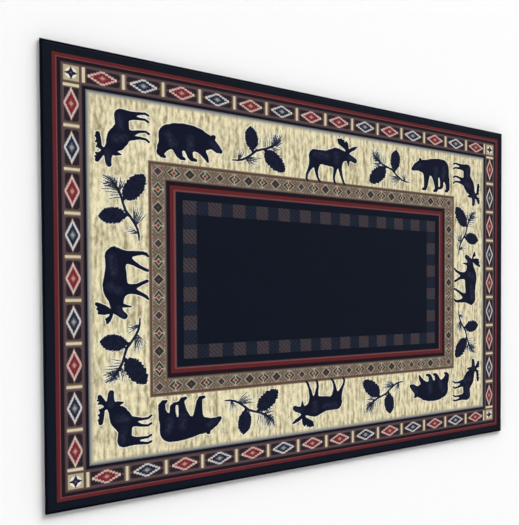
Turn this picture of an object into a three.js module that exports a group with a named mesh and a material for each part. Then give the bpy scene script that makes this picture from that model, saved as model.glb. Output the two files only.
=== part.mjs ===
// A flat, machine-woven lodge rug with an overcast yarn edge on all four sides.
// Millimetres, +Z up. The long side runs along X and the short side along Y.
// The origin is on the floor, under the middle of the rug.

import * as THREE from "three";

// Overall size, edging included
const RUG_LENGTH = 2310;
const RUG_WIDTH = 1600;

// The woven body, from the floor to the tips of the cut pile
const RUG_THICKNESS = 10;
const PILE_ROLL = 3.5;
const PILE_ROLL_STEPS = 4;
const BODY_CORNER_RADIUS = 3;
const BODY_CORNER_STEPS = 3;

// The overcast edging: a low bead of yarn, flat where it lies on the floor
const EDGING_WIDTH = 7;
const EDGING_HEIGHT = 8;
const EDGING_FOOT_RADIUS = 1.2;
const EDGING_INNER_RADIUS = 2.2;
const EDGING_ARC_STEPS = 6;

// The space between pieces that touch
const SEAM_GAP = 0.3;

const BODY_LENGTH = RUG_LENGTH - 2 * (EDGING_WIDTH + SEAM_GAP);
const BODY_WIDTH = RUG_WIDTH - 2 * (EDGING_WIDTH + SEAM_GAP);

const yarnNavy = { color: 0x141a26, roughness: 0.95, metalness: 0 };
const pileGround = { color: 0x5b4c4b, roughness: 0.96, metalness: 0 };

// Points of a rounded rectangle, anticlockwise from the corner at +X, +Y
function roundedRectangle(length, width, radius, steps) {
  const corners = [
    { x: 1, y: 1, start: 0 },
    { x: -1, y: 1, start: 90 },
    { x: -1, y: -1, start: 180 },
    { x: 1, y: -1, start: 270 },
  ];
  const points = [];
  for (const corner of corners) {
    const centreX = corner.x * (length / 2 - radius);
    const centreY = corner.y * (width / 2 - radius);
    for (let step = 0; step <= steps; step += 1) {
      const angle = THREE.MathUtils.degToRad(corner.start + (90 * step) / steps);
      points.push(new THREE.Vector2(
        centreX + radius * Math.cos(angle),
        centreY + radius * Math.sin(angle),
      ));
    }
  }
  return points;
}

// A closed body through outlines of equal point count, each at its own height
function loft(sections) {
  const count = sections[0].outline.length;
  const positions = [];
  for (const section of sections) {
    for (const point of section.outline) {
      positions.push(point.x, point.y, section.height);
    }
  }
  const faces = [];
  for (let level = 0; level + 1 < sections.length; level += 1) {
    for (let i = 0; i < count; i += 1) {
      const next = (i + 1) % count;
      const low = level * count;
      const high = low + count;
      faces.push(low + i, low + next, high + next);
      faces.push(low + i, high + next, high + i);
    }
  }
  const top = (sections.length - 1) * count;
  for (let i = 1; i + 1 < count; i += 1) {
    faces.push(top, top + i, top + i + 1);
    faces.push(0, i + 1, i);
  }
  const geometry = new THREE.BufferGeometry();
  geometry.setAttribute("position", new THREE.Float32BufferAttribute(positions, 3));
  geometry.setIndex(faces);
  geometry.computeVertexNormals();
  return geometry;
}

// The woven body: straight walls, and a sheared pile that rolls over at its rim
function wovenBodyGeometry() {
  const sections = [{
    outline: roundedRectangle(BODY_LENGTH, BODY_WIDTH, BODY_CORNER_RADIUS, BODY_CORNER_STEPS),
    height: 0,
  }];
  for (let step = 0; step <= PILE_ROLL_STEPS; step += 1) {
    const angle = (Math.PI / 2) * (step / PILE_ROLL_STEPS);
    const inset = PILE_ROLL * (1 - Math.cos(angle));
    sections.push({
      outline: roundedRectangle(
        BODY_LENGTH - 2 * inset,
        BODY_WIDTH - 2 * inset,
        BODY_CORNER_RADIUS + PILE_ROLL - inset,
        BODY_CORNER_STEPS,
      ),
      height: RUG_THICKNESS - PILE_ROLL + PILE_ROLL * Math.sin(angle),
    });
  }
  return loft(sections);
}

// Section of the edging bead: x is the distance in from the rug's rim, y the height
function edgingSection() {
  const shape = new THREE.Shape();
  const crownX = EDGING_WIDTH / 2;
  const sideY = EDGING_HEIGHT / 2;
  shape.moveTo(EDGING_WIDTH - EDGING_FOOT_RADIUS, 0);
  shape.lineTo(EDGING_WIDTH, EDGING_FOOT_RADIUS);
  shape.lineTo(EDGING_WIDTH, EDGING_HEIGHT - EDGING_INNER_RADIUS);
  shape.quadraticCurveTo(EDGING_WIDTH, EDGING_HEIGHT, crownX, EDGING_HEIGHT);
  shape.bezierCurveTo(crownX / 2, EDGING_HEIGHT, 0, EDGING_HEIGHT * 0.8, 0, sideY);
  shape.quadraticCurveTo(0, 0, EDGING_FOOT_RADIUS * 1.5, 0);
  shape.closePath();
  return shape;
}

// A bead along X whose ends are cut at 45 degrees, to meet the next side's bead.
// Its rim is on the line y = 0, and it grows towards +Y.
function edgingGeometry(length) {
  const geometry = new THREE.ExtrudeGeometry(edgingSection(), {
    depth: 1,
    steps: 1,
    bevelEnabled: false,
    curveSegments: EDGING_ARC_STEPS,
  });
  const position = geometry.getAttribute("position");
  for (let i = 0; i < position.count; i += 1) {
    const inward = position.getX(i);
    const height = position.getY(i);
    const side = position.getZ(i) > 0.5 ? 1 : -1;
    const reach = length / 2 - inward - SEAM_GAP * Math.SQRT1_2;
    position.setXYZ(i, side * reach, inward, height);
  }
  const index = [];
  for (let i = 0; i < position.count; i += 3) {
    index.push(i, i + 1, i + 2);
  }
  geometry.setIndex(index);
  geometry.computeVertexNormals();
  return geometry;
}

const rug = new THREE.Group();

const wovenBody = new THREE.Mesh(
  wovenBodyGeometry(),
  new THREE.MeshStandardMaterial(pileGround),
);
wovenBody.name = "rug_body";
rug.add(wovenBody);

// Each side's bead is turned so that its rim faces out
const edgings = [
  { name: "side_edging_near", length: RUG_LENGTH, x: 0, y: -RUG_WIDTH / 2, turn: 0 },
  { name: "end_edging_right", length: RUG_WIDTH, x: RUG_LENGTH / 2, y: 0, turn: 90 },
  { name: "side_edging_far", length: RUG_LENGTH, x: 0, y: RUG_WIDTH / 2, turn: 180 },
  { name: "end_edging_left", length: RUG_WIDTH, x: -RUG_LENGTH / 2, y: 0, turn: 270 },
];
for (const edging of edgings) {
  const bead = new THREE.Mesh(
    edgingGeometry(edging.length),
    new THREE.MeshStandardMaterial(yarnNavy),
  );
  bead.name = edging.name;
  bead.position.set(edging.x, edging.y, 0);
  bead.rotation.z = THREE.MathUtils.degToRad(edging.turn);
  rug.add(bead);
}

export default rug;
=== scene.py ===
"""A woven lodge rug, lying flat on a pale floor.

The pile is modelled tuft by tuft in long strips over a ribbed ground weave, and an overcast
yarn edge runs round the rug. The woven design is laid out in millimetres from the rug's rim:
its stripes, diamonds, tiles and checks are node groups, and its animals and pine sprigs are
drawn from tapered strokes and kept on the pile as attributes. Blender works in metres.
"""
import logging
import math
from dataclasses import dataclass, field
from enum import Enum
from typing import Callable, Iterable

import bpy
import numpy as np
from mathutils import Euler, Matrix, Vector


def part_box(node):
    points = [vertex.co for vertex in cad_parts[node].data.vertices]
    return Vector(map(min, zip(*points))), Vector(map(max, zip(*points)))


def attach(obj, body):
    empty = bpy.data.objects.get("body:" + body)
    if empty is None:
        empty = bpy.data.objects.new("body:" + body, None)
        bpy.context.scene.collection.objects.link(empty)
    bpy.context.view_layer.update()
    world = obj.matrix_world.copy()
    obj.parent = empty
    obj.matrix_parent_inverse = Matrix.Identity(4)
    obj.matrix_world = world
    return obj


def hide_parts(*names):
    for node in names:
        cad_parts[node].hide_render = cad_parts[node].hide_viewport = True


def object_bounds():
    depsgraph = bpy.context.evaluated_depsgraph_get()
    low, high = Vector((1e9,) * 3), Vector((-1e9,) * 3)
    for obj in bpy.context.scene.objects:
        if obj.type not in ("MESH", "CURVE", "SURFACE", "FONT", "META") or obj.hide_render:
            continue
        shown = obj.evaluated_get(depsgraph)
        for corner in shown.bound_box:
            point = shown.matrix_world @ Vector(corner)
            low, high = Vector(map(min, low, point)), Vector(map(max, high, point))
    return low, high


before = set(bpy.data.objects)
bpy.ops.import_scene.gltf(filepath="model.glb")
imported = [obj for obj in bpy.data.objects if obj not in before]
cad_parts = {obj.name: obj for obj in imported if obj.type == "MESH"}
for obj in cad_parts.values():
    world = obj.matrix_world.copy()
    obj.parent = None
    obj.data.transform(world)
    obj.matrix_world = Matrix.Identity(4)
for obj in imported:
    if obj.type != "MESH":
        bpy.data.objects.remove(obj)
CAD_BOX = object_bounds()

LOG = logging.getLogger("lodge_rug")
MM = 0.001
# In millimetres: the spacing of the knots, and a distance that stands for far from a motif
KNOT = 1.65
FAR = 60.0
# A needle's radii at its root, middle and tip, its bend in degrees, and the size of a short one
NEEDLE_RADII = (1.7, 1.9, 1.3)
NEEDLE_BEND = 7.0
SHORT_NEEDLE = 0.78
# What the grid says of each knot, and what the pile keeps of the animals and sprigs
GRID_NUMBERS = ("X", "Y", "From end", "From side", "Rim", "On side", "Along")
KEPT_NAMES = ("ink", "needles", "light")
Field = np.ndarray
Rgb = tuple[int, int, int]


class Yarn(Enum):
    """Each yarn that the rug is woven from, with its display colour from 0 to 255."""

    NAVY = (19, 24, 34)
    MIDNIGHT = (17, 23, 35)
    INK = (20, 23, 40)
    DUSK = (46, 50, 72)
    SLATE = (34, 42, 58)
    INDIGO = (34, 38, 60)
    STEEL = (86, 90, 100)
    MIST = (196, 197, 195)
    LILAC = (134, 136, 144)
    PINE = (50, 54, 70)
    FOREST = (50, 62, 56)
    CHARCOAL = (50, 50, 50)
    OLIVE = (104, 92, 68)
    RED = (96, 38, 40)
    CRIMSON = (116, 36, 47)
    BRICK = (132, 68, 63)
    MADDER = (140, 55, 48)
    ROSE = (115, 69, 74)
    BLUSH = (216, 184, 176)
    PETAL = (202, 171, 164)
    PLUM = (33, 25, 31)
    DAMSON = (43, 34, 43)
    UMBER = (88, 71, 72)
    MAUVE = (66, 56, 61)
    HATCH = (69, 62, 66)
    SHADE = (53, 47, 54)
    DENIM = (27, 31, 43)
    BROWN = (92, 71, 61)
    TAN = (142, 125, 106)
    FAWN = (112, 98, 86)
    BISCUIT = (112, 96, 84)
    SHELL = (172, 144, 130)
    PUTTY = (158, 152, 136)
    DRAB = (144, 129, 114)
    GREIGE = (176, 168, 148)
    SAND = (158, 152, 134)
    KHAKI = (156, 144, 108)
    SAGE = (186, 188, 140)
    CREAM = (217, 207, 171)
    IVORY = (238, 229, 191)
    PEARL = (225, 225, 212)
    STRAW = (213, 199, 171)
    FLAX = (183, 167, 139)
    JUTE = (150, 132, 100)
    SOOT = (14, 18, 27)


@dataclass(frozen=True)
class YarnFinish:
    """How spun yarn takes light, and how uneven it is from tuft to tuft."""

    mottle: float = 0.16
    fibre: float = 0.22
    bump: float = 0.5
    relief: float = 0.0005
    roughness: float = 0.95
    specular: float = 0.02


@dataclass(frozen=True)
class FloorPaint:
    """The matt paint of the floor."""

    colour: Rgb = (250, 250, 250)
    roughness: float = 0.9
    specular: float = 0.1


PILE_FINISH = YarnFinish()
GROUND_FINISH = YarnFinish(mottle=0.3, relief=0.0004)
EDGING_FINISH = YarnFinish(mottle=0.2, relief=0.0004)
FLOOR_PAINT = FloorPaint()


def linear(colour: Rgb) -> tuple[float, float, float, float]:
    """Turns a display colour into the linear one that a shader takes."""
    shares = (value / 255.0 for value in colour)
    straight = (s / 12.92 if s <= 0.04045 else ((s + 0.055) / 1.055) ** 2.4 for s in shares)
    return (*straight, 1.0)


@dataclass(frozen=True)
class Limb:
    """A tapered stroke of a silhouette, round at both ends."""

    x0: float
    y0: float
    r0: float
    x1: float
    y1: float
    r1: float

    def distance(self, x: Field, y: Field) -> Field:
        """Signed distance to the stroke, negative inside.

        Args:
            x: Places along the motif, in millimetres.
            y: Places up the motif, in millimetres.

        Returns:
            The distance at each place.
        """
        run_x, run_y = self.x1 - self.x0, self.y1 - self.y0
        along = ((x - self.x0) * run_x + (y - self.y0) * run_y) / (run_x**2 + run_y**2)
        along = np.clip(along, 0.0, 1.0)
        away = np.hypot(x - self.x0 - along * run_x, y - self.y0 - along * run_y)
        return away - (self.r0 + along * (self.r1 - self.r0))


@dataclass(frozen=True)
class Stroke:
    """A bent stroke through stations of x, y and radius."""

    limbs: tuple[Limb, ...]

    def distance(self, x: Field, y: Field) -> Field:
        """Signed distance to the stroke, negative inside.

        Args:
            x: Places along the motif, in millimetres.
            y: Places up the motif.

        Returns:
            The distance at each place.
        """
        near = self.limbs[0].distance(x, y)
        for limb in self.limbs[1:]:
            near = np.minimum(near, limb.distance(x, y))
        return near


def stroke(*stations: tuple[float, float, float]) -> Stroke:
    """Joins stations of x, y and radius into a stroke."""
    return Stroke(tuple(Limb(*a, *b) for a, b in zip(stations, stations[1:])))


def blended(strokes: Iterable[Stroke], x: Field, y: Field, blend: float) -> Field:
    """Signed distance to strokes that flow into each other.

    Args:
        strokes: The strokes of one silhouette.
        x: Places along the motif.
        y: Places up the motif.
        blend: How far round each join the outline is filled out.

    Returns:
        The distance at each place.
    """
    near = None
    for one in strokes:
        this = one.distance(x, y)
        if near is None:
            near = this
            continue
        share = np.clip(0.5 + 0.5 * (near - this) / blend, 0.0, 1.0)
        near = near * (1.0 - share) + this * share - blend * share * (1.0 - share)
    return near


@dataclass(frozen=True)
class Cone:
    """A closed pine cone, egg-shaped, with its middle, the way its tip points, and its size."""

    x: float
    y: float
    aim: float
    length: float
    width: float
    profile: tuple[tuple[float, float], ...] = (
        (-0.50, 0.50), (-0.40, 0.78), (-0.26, 0.95), (-0.06, 1.0), (0.14, 0.96), (0.32, 0.80),
        (0.50, 0.54),
    )
    round_ends: float = 0.52
    scale: float = 15.0
    scale_slant: float = 0.9
    seam_depth: float = 6.5
    seam_edge: float = 5.0

    def distance(self, x: Field, y: Field) -> Field:
        """Signed distance to its outline, which the tips of the scales break up.

        Args:
            x: Places along the motif, in millimetres.
            y: Places up the motif.

        Returns:
            The distance at each place.
        """
        cosine, sine = self.direction()
        run = self.length - self.round_ends * self.width
        egg = stroke(*(
            (self.x + at * run * cosine, self.y + at * run * sine, girth * self.width / 2)
            for at, girth in self.profile
        ))
        return egg.distance(x, y) + self.seam_depth * self.seams(x, y)

    def direction(self) -> tuple[float, float]:
        """The cosine and sine of the way its tip points."""
        return math.cos(math.radians(self.aim)), math.sin(math.radians(self.aim))

    def seams(self, x: Field, y: Field) -> Field:
        """How near each place is to a seam between scales.

        Args:
            x: Places along the motif, in millimetres.
            y: Places up the motif.

        Returns:
            The nearness at each place, from 0 to 1.
        """
        cosine, sine = self.direction()
        along = (x - self.x) * cosine + (y - self.y) * sine
        across = (y - self.y) * cosine - (x - self.x) * sine
        slants = [
            np.abs(np.mod((along + way * across * self.scale_slant) / self.scale, 1.0) - 0.5)
            for way in (1.0, -1.0)
        ]
        return np.clip(1.0 - self.seam_edge * np.minimum(*slants), 0.0, 1.0)


@dataclass(frozen=True)
class Motif:
    """A silhouette drawn facing right: soft body strokes, crisp thin ones, needles and lit fur."""

    body: tuple[Stroke, ...]
    crisp: tuple[Stroke, ...] = ()
    needles: tuple[Stroke, ...] = ()
    lights: tuple[Stroke, ...] = ()
    cones: tuple[Cone, ...] = ()
    blend: float = 9.0
    crisp_blend: float = 2.5
    needle_blend: float = 0.4
    light_blend: float = 10.0
    light_most: float = 0.6
    light_fade: float = 22.0
    seam_light: float = 0.5
    reach: float = 330.0

    def silhouette(self, x: Field, y: Field) -> Field:
        """Signed distance to the dark silhouette.

        Args:
            x: Places along the motif, in millimetres.
            y: Places up the motif.

        Returns:
            The distance at each place.
        """
        near = blended(self.body, x, y, self.blend)
        if self.crisp:
            near = np.minimum(near, blended(self.crisp, x, y, self.crisp_blend))
        for pine_cone in self.cones:
            near = np.minimum(near, pine_cone.distance(x, y))
        return near

    def spray(self, x: Field, y: Field) -> Field:
        """Signed distance to the needles.

        Args:
            x: Places along the motif, in millimetres.
            y: Places up the motif.

        Returns:
            The distance at each place.
        """
        if not self.needles:
            return np.full(np.shape(x), FAR)
        return blended(self.needles, x, y, self.needle_blend)

    def light(self, x: Field, y: Field) -> Field:
        """How much paler yarn is mixed in.

        Args:
            x: Places along the motif, in millimetres.
            y: Places up the motif.

        Returns:
            The share at each place, from 0 to 1.
        """
        lit = np.zeros(np.shape(x))
        if self.lights:
            near = blended(self.lights, x, y, self.light_blend)
            lit = np.clip(self.light_most - near / self.light_fade, 0.0, 1.0)
        for pine_cone in self.cones:
            lit = np.maximum(lit, self.seam_light * pine_cone.seams(x, y))
        return lit


def walking_bear() -> Motif:
    """A bear in mid stride with its head carried low.

    Returns:
        Its strokes, in millimetres.
    """
    body = (
        stroke((-77, 91, 44), (-52, 94, 49), (-22, 95, 51), (10, 95, 49), (34, 94, 44),
               (60, 90, 34)),
        stroke((44, 90, 38), (74, 89, 28), (97, 82, 20), (116, 67, 16), (129, 60, 10)),
        stroke((-88, 70, 31), (-105, 47, 21), (-113, 29, 16), (-109, 18, 10), (-97, 13, 6)),
        stroke((-54, 62, 21), (-47, 42, 17), (-40, 27, 14), (-34, 17, 9), (-20, 13, 6)),
        stroke((-2, 62, 20), (-1, 40, 14.5), (4, 25, 12), (10, 16, 9), (27, 13, 6)),
        stroke((36, 64, 20), (54, 47, 14), (68, 30, 10.5), (76, 14, 5.5)),
    )
    crisp = (stroke((92, 104, 11), (99, 111, 9)), stroke((101, 108, 9), (105, 113, 6)))
    lights = (
        stroke((-84, 96, 8), (-66, 66, 12)),
        stroke((4, 92, 10), (6, 54, 9)),
        stroke((96, 88, 5), (118, 68, 4)),
    )
    return Motif(body, crisp, lights=lights)


def standing_bear() -> Motif:
    """A bear standing square on straight legs, head held level.

    Returns:
        Its strokes, in millimetres.
    """
    body = (
        stroke((-80, 130, 44), (-56, 131, 44), (-30, 130, 43), (4, 127, 40), (36, 124, 35),
               (56, 126, 29)),
        stroke((50, 128, 29), (76, 126, 25), (96, 120, 19), (112, 111, 12.5), (120, 107, 8.5)),
        stroke((-94, 108, 31), (-107, 80, 22), (-115, 54, 15), (-116, 34, 14), (-110, 23, 10),
               (-99, 19, 6)),
        stroke((-74, 88, 18), (-74, 62, 12), (-74, 43, 11.5), (-67, 33, 8), (-54, 29, 5)),
        stroke((-26, 94, 25), (-34, 64, 17), (-39, 34, 13), (-36, 19, 10), (-21, 14, 6)),
        stroke((28, 90, 21), (31, 56, 15.5), (34, 32, 12.5), (38, 20, 9), (54, 17, 6)),
    )
    crisp = (stroke((67, 146, 10), (71, 156, 9)),)
    lights = (
        stroke((-92, 132, 8), (-84, 92, 9)),
        stroke((-34, 118, 10), (-30, 84, 8)),
        stroke((74, 128, 5), (104, 113, 4)),
    )
    return Motif(body, crisp, lights=lights)


def walking_moose() -> Motif:
    """A bull moose walking with its head level.

    Returns:
        Its strokes, in millimetres.
    """
    body = (
        stroke((-82, 112, 28), (-54, 110, 30), (-20, 108, 33), (4, 111, 38), (30, 118, 40),
               (44, 122, 34)),
        stroke((38, 126, 32), (66, 128, 24), (92, 127, 20), (112, 122, 14), (128, 117, 12.5),
               (136, 113, 11.5)),
        stroke((-88, 98, 24), (-98, 72, 14), (-110, 50, 8), (-121, 30, 6), (-125, 12, 5.5),
               (-118, 4, 4.5)),
        stroke((-70, 96, 26), (-73, 66, 14), (-73, 44, 8.5), (-68, 24, 6), (-61, 10, 6),
               (-53, 4, 4.5)),
        stroke((28, 96, 22), (27, 68, 11), (23, 48, 8), (19, 28, 6), (22, 11, 6), (28, 4, 4.5)),
        stroke((48, 100, 20), (53, 70, 10), (58, 48, 8), (64, 30, 6), (71, 12, 6), (79, 4, 4.5)),
    )
    crisp = (
        stroke((98, 108, 10), (99, 84, 1.8)),
        stroke((-100, 124, 7), (-108, 112, 4.5)),
        stroke((92, 146, 9), (91, 168, 10), (90, 182, 9), (87, 191, 5)),
        stroke((84, 166, 10), (64, 184, 16), (54, 188, 14)),
        stroke((54, 190, 10), (44, 196, 6)),
        stroke((60, 188, 10), (60, 200, 5)),
        stroke((68, 186, 10), (73, 196, 4)),
        stroke((100, 150, 8), (116, 161, 8.5), (130, 167, 8), (146, 176, 4)),
    )
    lights = (
        stroke((-78, 120, 7), (-20, 118, 8)),
        stroke((34, 130, 9), (34, 96, 6)),
        stroke((104, 126, 4), (130, 118, 4)),
    )
    return Motif(body, crisp, lights=lights)


def browsing_moose() -> Motif:
    """A heavy bull moose stepping out with its head carried low.

    Returns:
        Its strokes, in millimetres.
    """
    body = (
        stroke((-102, 126, 33), (-64, 121, 36), (-34, 121, 40), (-4, 123, 44), (18, 124, 40)),
        stroke((12, 124, 40), (40, 121, 31), (66, 119, 25), (88, 117, 19), (103, 103, 14),
               (111, 91, 12)),
        stroke((-104, 110, 28), (-110, 78, 14), (-115, 48, 9), (-117, 24, 7), (-113, 9, 6.5),
               (-106, 3, 4.5)),
        stroke((-92, 106, 28), (-91, 78, 15), (-79, 55, 9), (-67, 35, 7), (-58, 16, 6),
               (-54, 5, 6)),
        stroke((12, 100, 24), (9, 70, 13), (2, 44, 8), (-8, 24, 6.5), (-15, 7, 6.5)),
        stroke((16, 96, 24), (20, 68, 12), (26, 44, 8.5), (34, 25, 7), (42, 11, 6.5), (50, 4, 4.5)),
    )
    crisp = (
        stroke((72, 102, 9), (76, 82, 5), (78, 63, 1.8)),
        stroke((-128, 134, 8), (-135, 124, 4)),
        stroke((94, 136, 6), (80, 162, 10), (67, 188, 7)),
        stroke((95, 138, 6), (90, 164, 12), (84, 184, 6)),
        stroke((96, 140, 6), (97, 162, 9), (98, 180, 6)),
        stroke((98, 134, 5), (114, 141, 7), (126, 150, 8)),
        stroke((122, 146, 8), (134, 152, 5)),
        stroke((118, 148, 6), (121, 157, 4)),
    )
    lights = (
        stroke((-100, 134, 8), (-40, 128, 8)),
        stroke((6, 140, 10), (20, 108, 8)),
        stroke((84, 112, 5), (108, 96, 4)),
    )
    return Motif(body, crisp, lights=lights)


def alert_moose() -> Motif:
    """A young moose stopped with its legs in pairs and its head raised.

    Returns:
        Its strokes, in millimetres.
    """
    body = (
        stroke((-90, 104, 26), (-56, 101, 25), (-34, 106, 32), (-14, 114, 38), (2, 122, 34)),
        stroke((-4, 124, 34), (24, 140, 22), (40, 150, 19), (60, 152, 13), (80, 151, 11),
               (85, 149, 10)),
        stroke((-97, 90, 18), (-103, 64, 10), (-108, 44, 6), (-112, 18, 4.5), (-107, 5, 4.5)),
        stroke((-92, 86, 17), (-91, 60, 8), (-90, 42, 5.5), (-90, 18, 4.5), (-83, 5, 4.5)),
        stroke((-30, 92, 19), (-36, 62, 9), (-44, 40, 5.5), (-47, 16, 4.5), (-40, 4, 4.5)),
        stroke((-20, 90, 19), (-18, 62, 8.5), (-21, 40, 5.5), (-20, 16, 4.5), (-11, 4, 4.5)),
    )
    crisp = (
        stroke((44, 126, 10), (47, 105, 2)),
        stroke((-104, 118, 7), (-112, 108, 4.5)),
        stroke((36, 166, 6), (27, 180, 8), (0, 184, 9), (-18, 187, 8.5)),
        stroke((24, 184, 8), (29, 192, 3)),
        stroke((8, 188, 7), (11, 195, 3)),
        stroke((-8, 190, 6), (-8, 196, 3)),
        stroke((42, 168, 7), (56, 180, 10), (74, 190, 8)),
        stroke((54, 184, 8), (50, 195, 3)),
        stroke((64, 190, 6), (62, 198, 3)),
    )
    lights = (
        stroke((-88, 112, 6), (-50, 106, 6)),
        stroke((-8, 124, 9), (-14, 92, 7)),
        stroke((44, 152, 5), (78, 152, 3)),
    )
    return Motif(body, crisp, lights=lights, blend=6.0)


def spray(start: tuple[float, float], end: tuple[float, float], aims: tuple[float, float],
          length: float, count: int) -> list[Stroke]:
    """A row of pine needles that leaves a length of twig.

    Args:
        start: Where the first needle leaves the twig.
        end: Where the last one does.
        aims: The ways that the first and last needles point, in degrees.
        length: The longest needle, in millimetres.
        count: How many needles it has.

    Returns:
        The needles.
    """
    row = []
    for needle in range(count):
        share = needle / (count - 1)
        x, y = (a + share * (b - a) for a, b in zip(start, end))
        angle = math.radians(aims[0] + share * (aims[1] - aims[0]))
        reach = length * (SHORT_NEEDLE if needle % 2 else 1.0)
        bend = angle + math.radians(NEEDLE_BEND)
        middle = (x + 0.5 * reach * math.cos(angle), y + 0.5 * reach * math.sin(angle))
        tip = (middle[0] + 0.5 * reach * math.cos(bend), middle[1] + 0.5 * reach * math.sin(bend))
        places = ((x, y), middle, tip)
        row.append(stroke(*((*place, radius) for place, radius in zip(places, NEEDLE_RADII))))
    return row


def pine_sprig() -> Motif:
    """A pine twig with two cones, drawn about its middle.

    Returns:
        Its strokes, in millimetres.
    """
    twig = stroke(
        (-120, -61, 2.4), (-96, -60, 4.0), (-76, -55, 4.6), (-56, -45, 4.8), (-34, -30, 4.8),
        (-14, -13, 5.2), (12, -4, 4.6), (38, 3, 4.8), (64, 16, 5.6), (88, 35, 3.6),
    )
    stalks = (stroke((-26, -22, 4), (-31, -10, 7)), stroke((24, -3, 4), (36, -13, 5)))
    needles = (
        *spray((34, 4), (88, 34), (100, 52), 46, 8),
        *spray((60, 16), (74, 24), (88, 66), 56, 4),
        *spray((88, 34), (70, 18), (56, -6), 38, 7),
        *spray((62, 12), (56, 8), (-14, -28), 46, 3),
        *spray((-44, -40), (-62, -50), (-4, -46), 56, 7),
        *spray((-90, -58), (-94, -59), (54, 88), 48, 4),
    )
    cones = (Cone(-33.0, 36.0, 97.0, 98.0, 65.0), Cone(75.0, -46.0, -37.0, 120.0, 73.0))
    return Motif((twig, *stalks), needles=needles, cones=cones, blend=4.0)


@dataclass(frozen=True)
class Placement:
    """Where a motif is woven. Each one is woven again after a half turn of the rug."""

    motif: Callable[[], Motif]
    x: float
    y: float
    turn: float = 0.0
    mirrored: bool = False

    def local(self, x: Field, y: Field) -> tuple[Field, Field]:
        """Turns places on the rug into the motif's own frame.

        Args:
            x: Places along the rug, in millimetres from its middle.
            y: Places across the rug.

        Returns:
            The places along the motif and up it.
        """
        angle = math.radians(self.turn)
        across, up = x - self.x, y - self.y
        along = across * math.cos(angle) + up * math.sin(angle)
        above = up * math.cos(angle) - across * math.sin(angle)
        return (-along if self.mirrored else along), above


@dataclass
class Menagerie:
    """The animals and pine sprigs of the cream field, as three values at each point of the pile."""

    placements: tuple[Placement, ...] = (
        Placement(alert_moose, -781.5, 490.0, 90.0, True),
        Placement(walking_bear, -629.0, 442.5),
        Placement(pine_sprig, -329.0, 536.5),
        Placement(walking_moose, 25.5, 427.5),
        Placement(pine_sprig, 367.5, 537.0, 0.0, True),
        Placement(standing_bear, 629.5, 436.0, 0.0, True),
        Placement(pine_sprig, -886.0, 258.0, 90.0),
        Placement(browsing_moose, -790.0, -21.5, 90.0, True),
        Placement(pine_sprig, -886.0, -260.0, 90.0, True),
        Placement(alert_moose, -781.5, -490.0, 90.0, False),
    )

    def values(self, x: Field, y: Field) -> dict[str, Field]:
        """Works out the silhouettes at many places.

        Args:
            x: Places along the rug, in millimetres from its middle.
            y: Places across the rug.

        Returns:
            The distances to the silhouettes and to the needles, and how much paler yarn is
            mixed in.
        """
        ink, needles, light = np.full(x.shape, FAR), np.full(x.shape, FAR), np.zeros(x.shape)
        for placement in self.placements:
            motif = placement.motif()
            for way in (1.0, -1.0):
                close = np.hypot(x * way - placement.x, y * way - placement.y) < motif.reach
                u, v = placement.local(x[close] * way, y[close] * way)
                near = motif.silhouette(u, v)
                light[close] = np.where(near < ink[close], motif.light(u, v), light[close])
                ink[close] = np.minimum(ink[close], near)
                needles[close] = np.minimum(needles[close], motif.spray(u, v))
        return dict(zip(KEPT_NAMES, (ink, needles, light)))


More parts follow.
